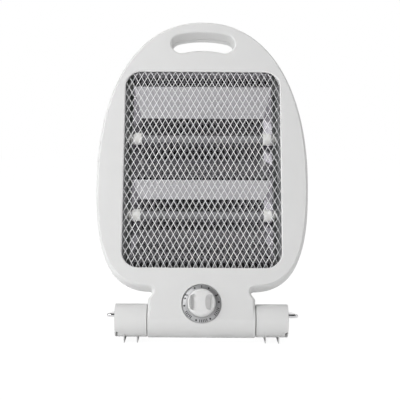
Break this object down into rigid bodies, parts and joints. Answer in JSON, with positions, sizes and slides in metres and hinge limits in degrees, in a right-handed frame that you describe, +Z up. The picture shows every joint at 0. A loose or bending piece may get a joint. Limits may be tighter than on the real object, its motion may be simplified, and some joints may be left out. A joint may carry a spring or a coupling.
{
  "type": "halogen heater",
  "caption": "Egg-shaped white halogen heater with two quartz tubes behind a diamond-mesh guard, a carry slot, a rotary control and a fold-up wire stand.",
  "frame": {"origin": "bottom centre of the bounding box, on the surface the heater stands on", "axes": "+Z up, the heater faces -Y, +X runs across it"},
  "size_m": [0.25, 0.1792, 0.3729],
  "materials": {
    "white_plastic": "satin moulded",
    "grey_plastic": "fine matt",
    "black_plastic": "matt",
    "polished_aluminium": "polished",
    "zinc_steel": "zinc plated",
    "chrome_wire": "bright chrome",
    "steatite": "unglazed",
    "quartz": "milky quartz",
    "heating_wire": "oxidised",
    "wire_sleeve": "braided glass sleeve"
  },
  "bodies": {
    "housing": {"front_shell": "white_plastic", "rear_shell": "white_plastic", "guard_mesh": "chrome_wire", "reflector": "polished_aluminium", "left_reflector_end": "polished_aluminium", "right_reflector_end": "polished_aluminium", "heat_shield": "zinc_steel", "left_tube_bracket": "zinc_steel", "right_tube_bracket": "zinc_steel", "upper_quartz_tube": "quartz", "lower_quartz_tube": "quartz", "upper_heating_coil": "heating_wire", "lower_heating_coil": "heating_wire", "upper_left_cap": "steatite", "upper_right_cap": "steatite", "lower_left_cap": "steatite", "lower_right_cap": "steatite", "right_jumper_lead": "wire_sleeve", "upper_feed_lead": "wire_sleeve", "lower_feed_lead": "wire_sleeve", "dial_plate": "grey_plastic", "rotary_switch": "black_plastic", "tilt_switch_cradle": "black_plastic", "terminal_block": "white_plastic", "cord_gland": "white_plastic", "left_hinge_bush": "grey_plastic", "right_hinge_bush": "grey_plastic", "case_screw_1": "zinc_steel", "case_screw_2": "zinc_steel", "case_screw_3": "zinc_steel", "case_screw_4": "zinc_steel", "case_screw_5": "zinc_steel", "case_screw_6": "zinc_steel", "case_screw_7": "zinc_steel", "case_screw_8": "zinc_steel", "reflector_screw_1": "zinc_steel", "reflector_screw_2": "zinc_steel", "reflector_screw_3": "zinc_steel", "reflector_screw_4": "zinc_steel"},
    "stand": {"left_foot": "white_plastic", "right_foot": "white_plastic", "wire_stand": "chrome_wire", "left_hinge_washer": "zinc_steel", "right_hinge_washer": "zinc_steel", "left_hinge_screw": "zinc_steel", "right_hinge_screw": "zinc_steel"},
    "knob": {"control_knob": "white_plastic", "switch_shaft": "zinc_steel"},
    "tilt_weight": {"tilt_switch_weight": "zinc_steel"}
  },
  "joints": [
    {"name": "stand_fold", "type": "hinge", "parent": "housing", "child": "stand", "pos_m": [0, -0.06263, 0.025], "axis": [1, 0, 0], "range_deg": [0, 60]},
    {"name": "knob_turn", "type": "hinge", "parent": "housing", "child": "knob", "pos_m": [0, -0.07557, 0.04692], "axis": [0, 0.9367, -0.3502], "range_deg": [0, 120]},
    {"name": "tilt_weight_swing", "type": "hinge", "parent": "housing", "child": "tilt_weight", "pos_m": [0.0365, -0.05997, 0.05497], "axis": [1, 0, 0], "range_deg": [-25, 25]}
  ]
}
